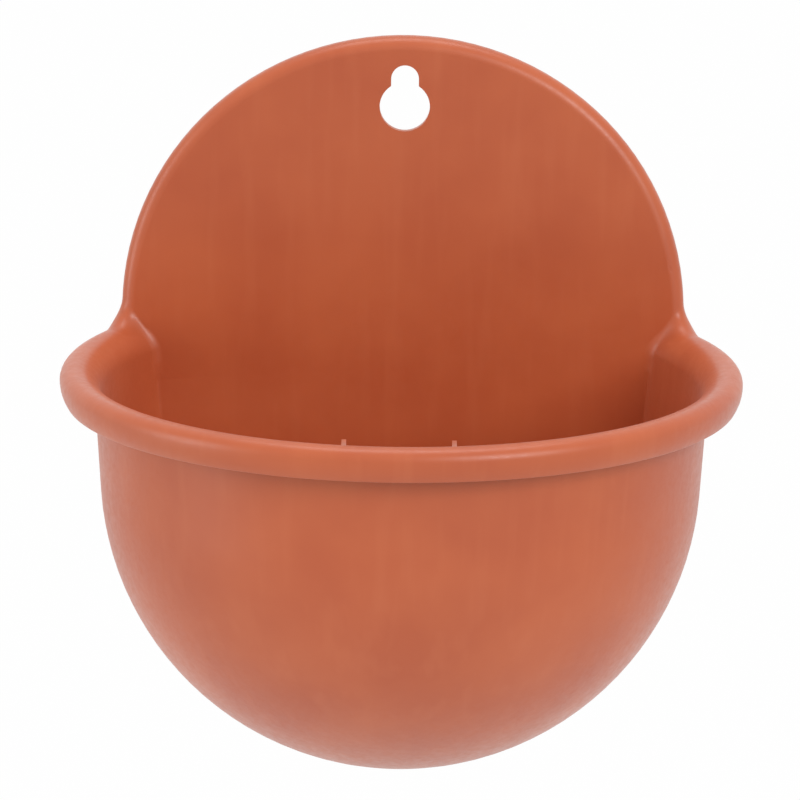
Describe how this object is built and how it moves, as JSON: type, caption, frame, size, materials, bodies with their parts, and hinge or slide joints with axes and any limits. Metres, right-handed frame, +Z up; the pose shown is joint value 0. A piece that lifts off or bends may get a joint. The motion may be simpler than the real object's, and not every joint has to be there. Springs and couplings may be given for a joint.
{
  "type": "wall planter",
  "caption": "Half-round wall planter: round-bottomed bowl with a rolled rim on a round-topped back plate, hung by a keyhole, with a lift-out drain grid and a drain plug.",
  "frame": {"origin": "centre of the keyhole's round hole, in the plane of the back plate's front face; the wall lies at y = +0.005", "axes": "+X to the planter's right as seen from the room, +Y into the wall along the keyhole's axis, +Z up"},
  "size_m": [0.21, 0.1605, 0.2182],
  "materials": {
    "shell_plastic": "satin",
    "grid_plastic": "satin",
    "plug_rubber": "matt"
  },
  "bodies": {
    "shell": {"planter_shell": "shell_plastic"},
    "grid": {"drain_grid": "grid_plastic"},
    "plug": {"drain_plug": "plug_rubber"}
  },
  "joints": [
    {"name": "grid_lift", "type": "slide", "parent": "shell", "child": "grid", "axis": [0, 0, 1], "range_m": [0, 0.2]},
    {"name": "plug_pull", "type": "slide", "parent": "shell", "child": "plug", "axis": [0, 0, -1], "range_m": [0, 0.02]}
  ]
}
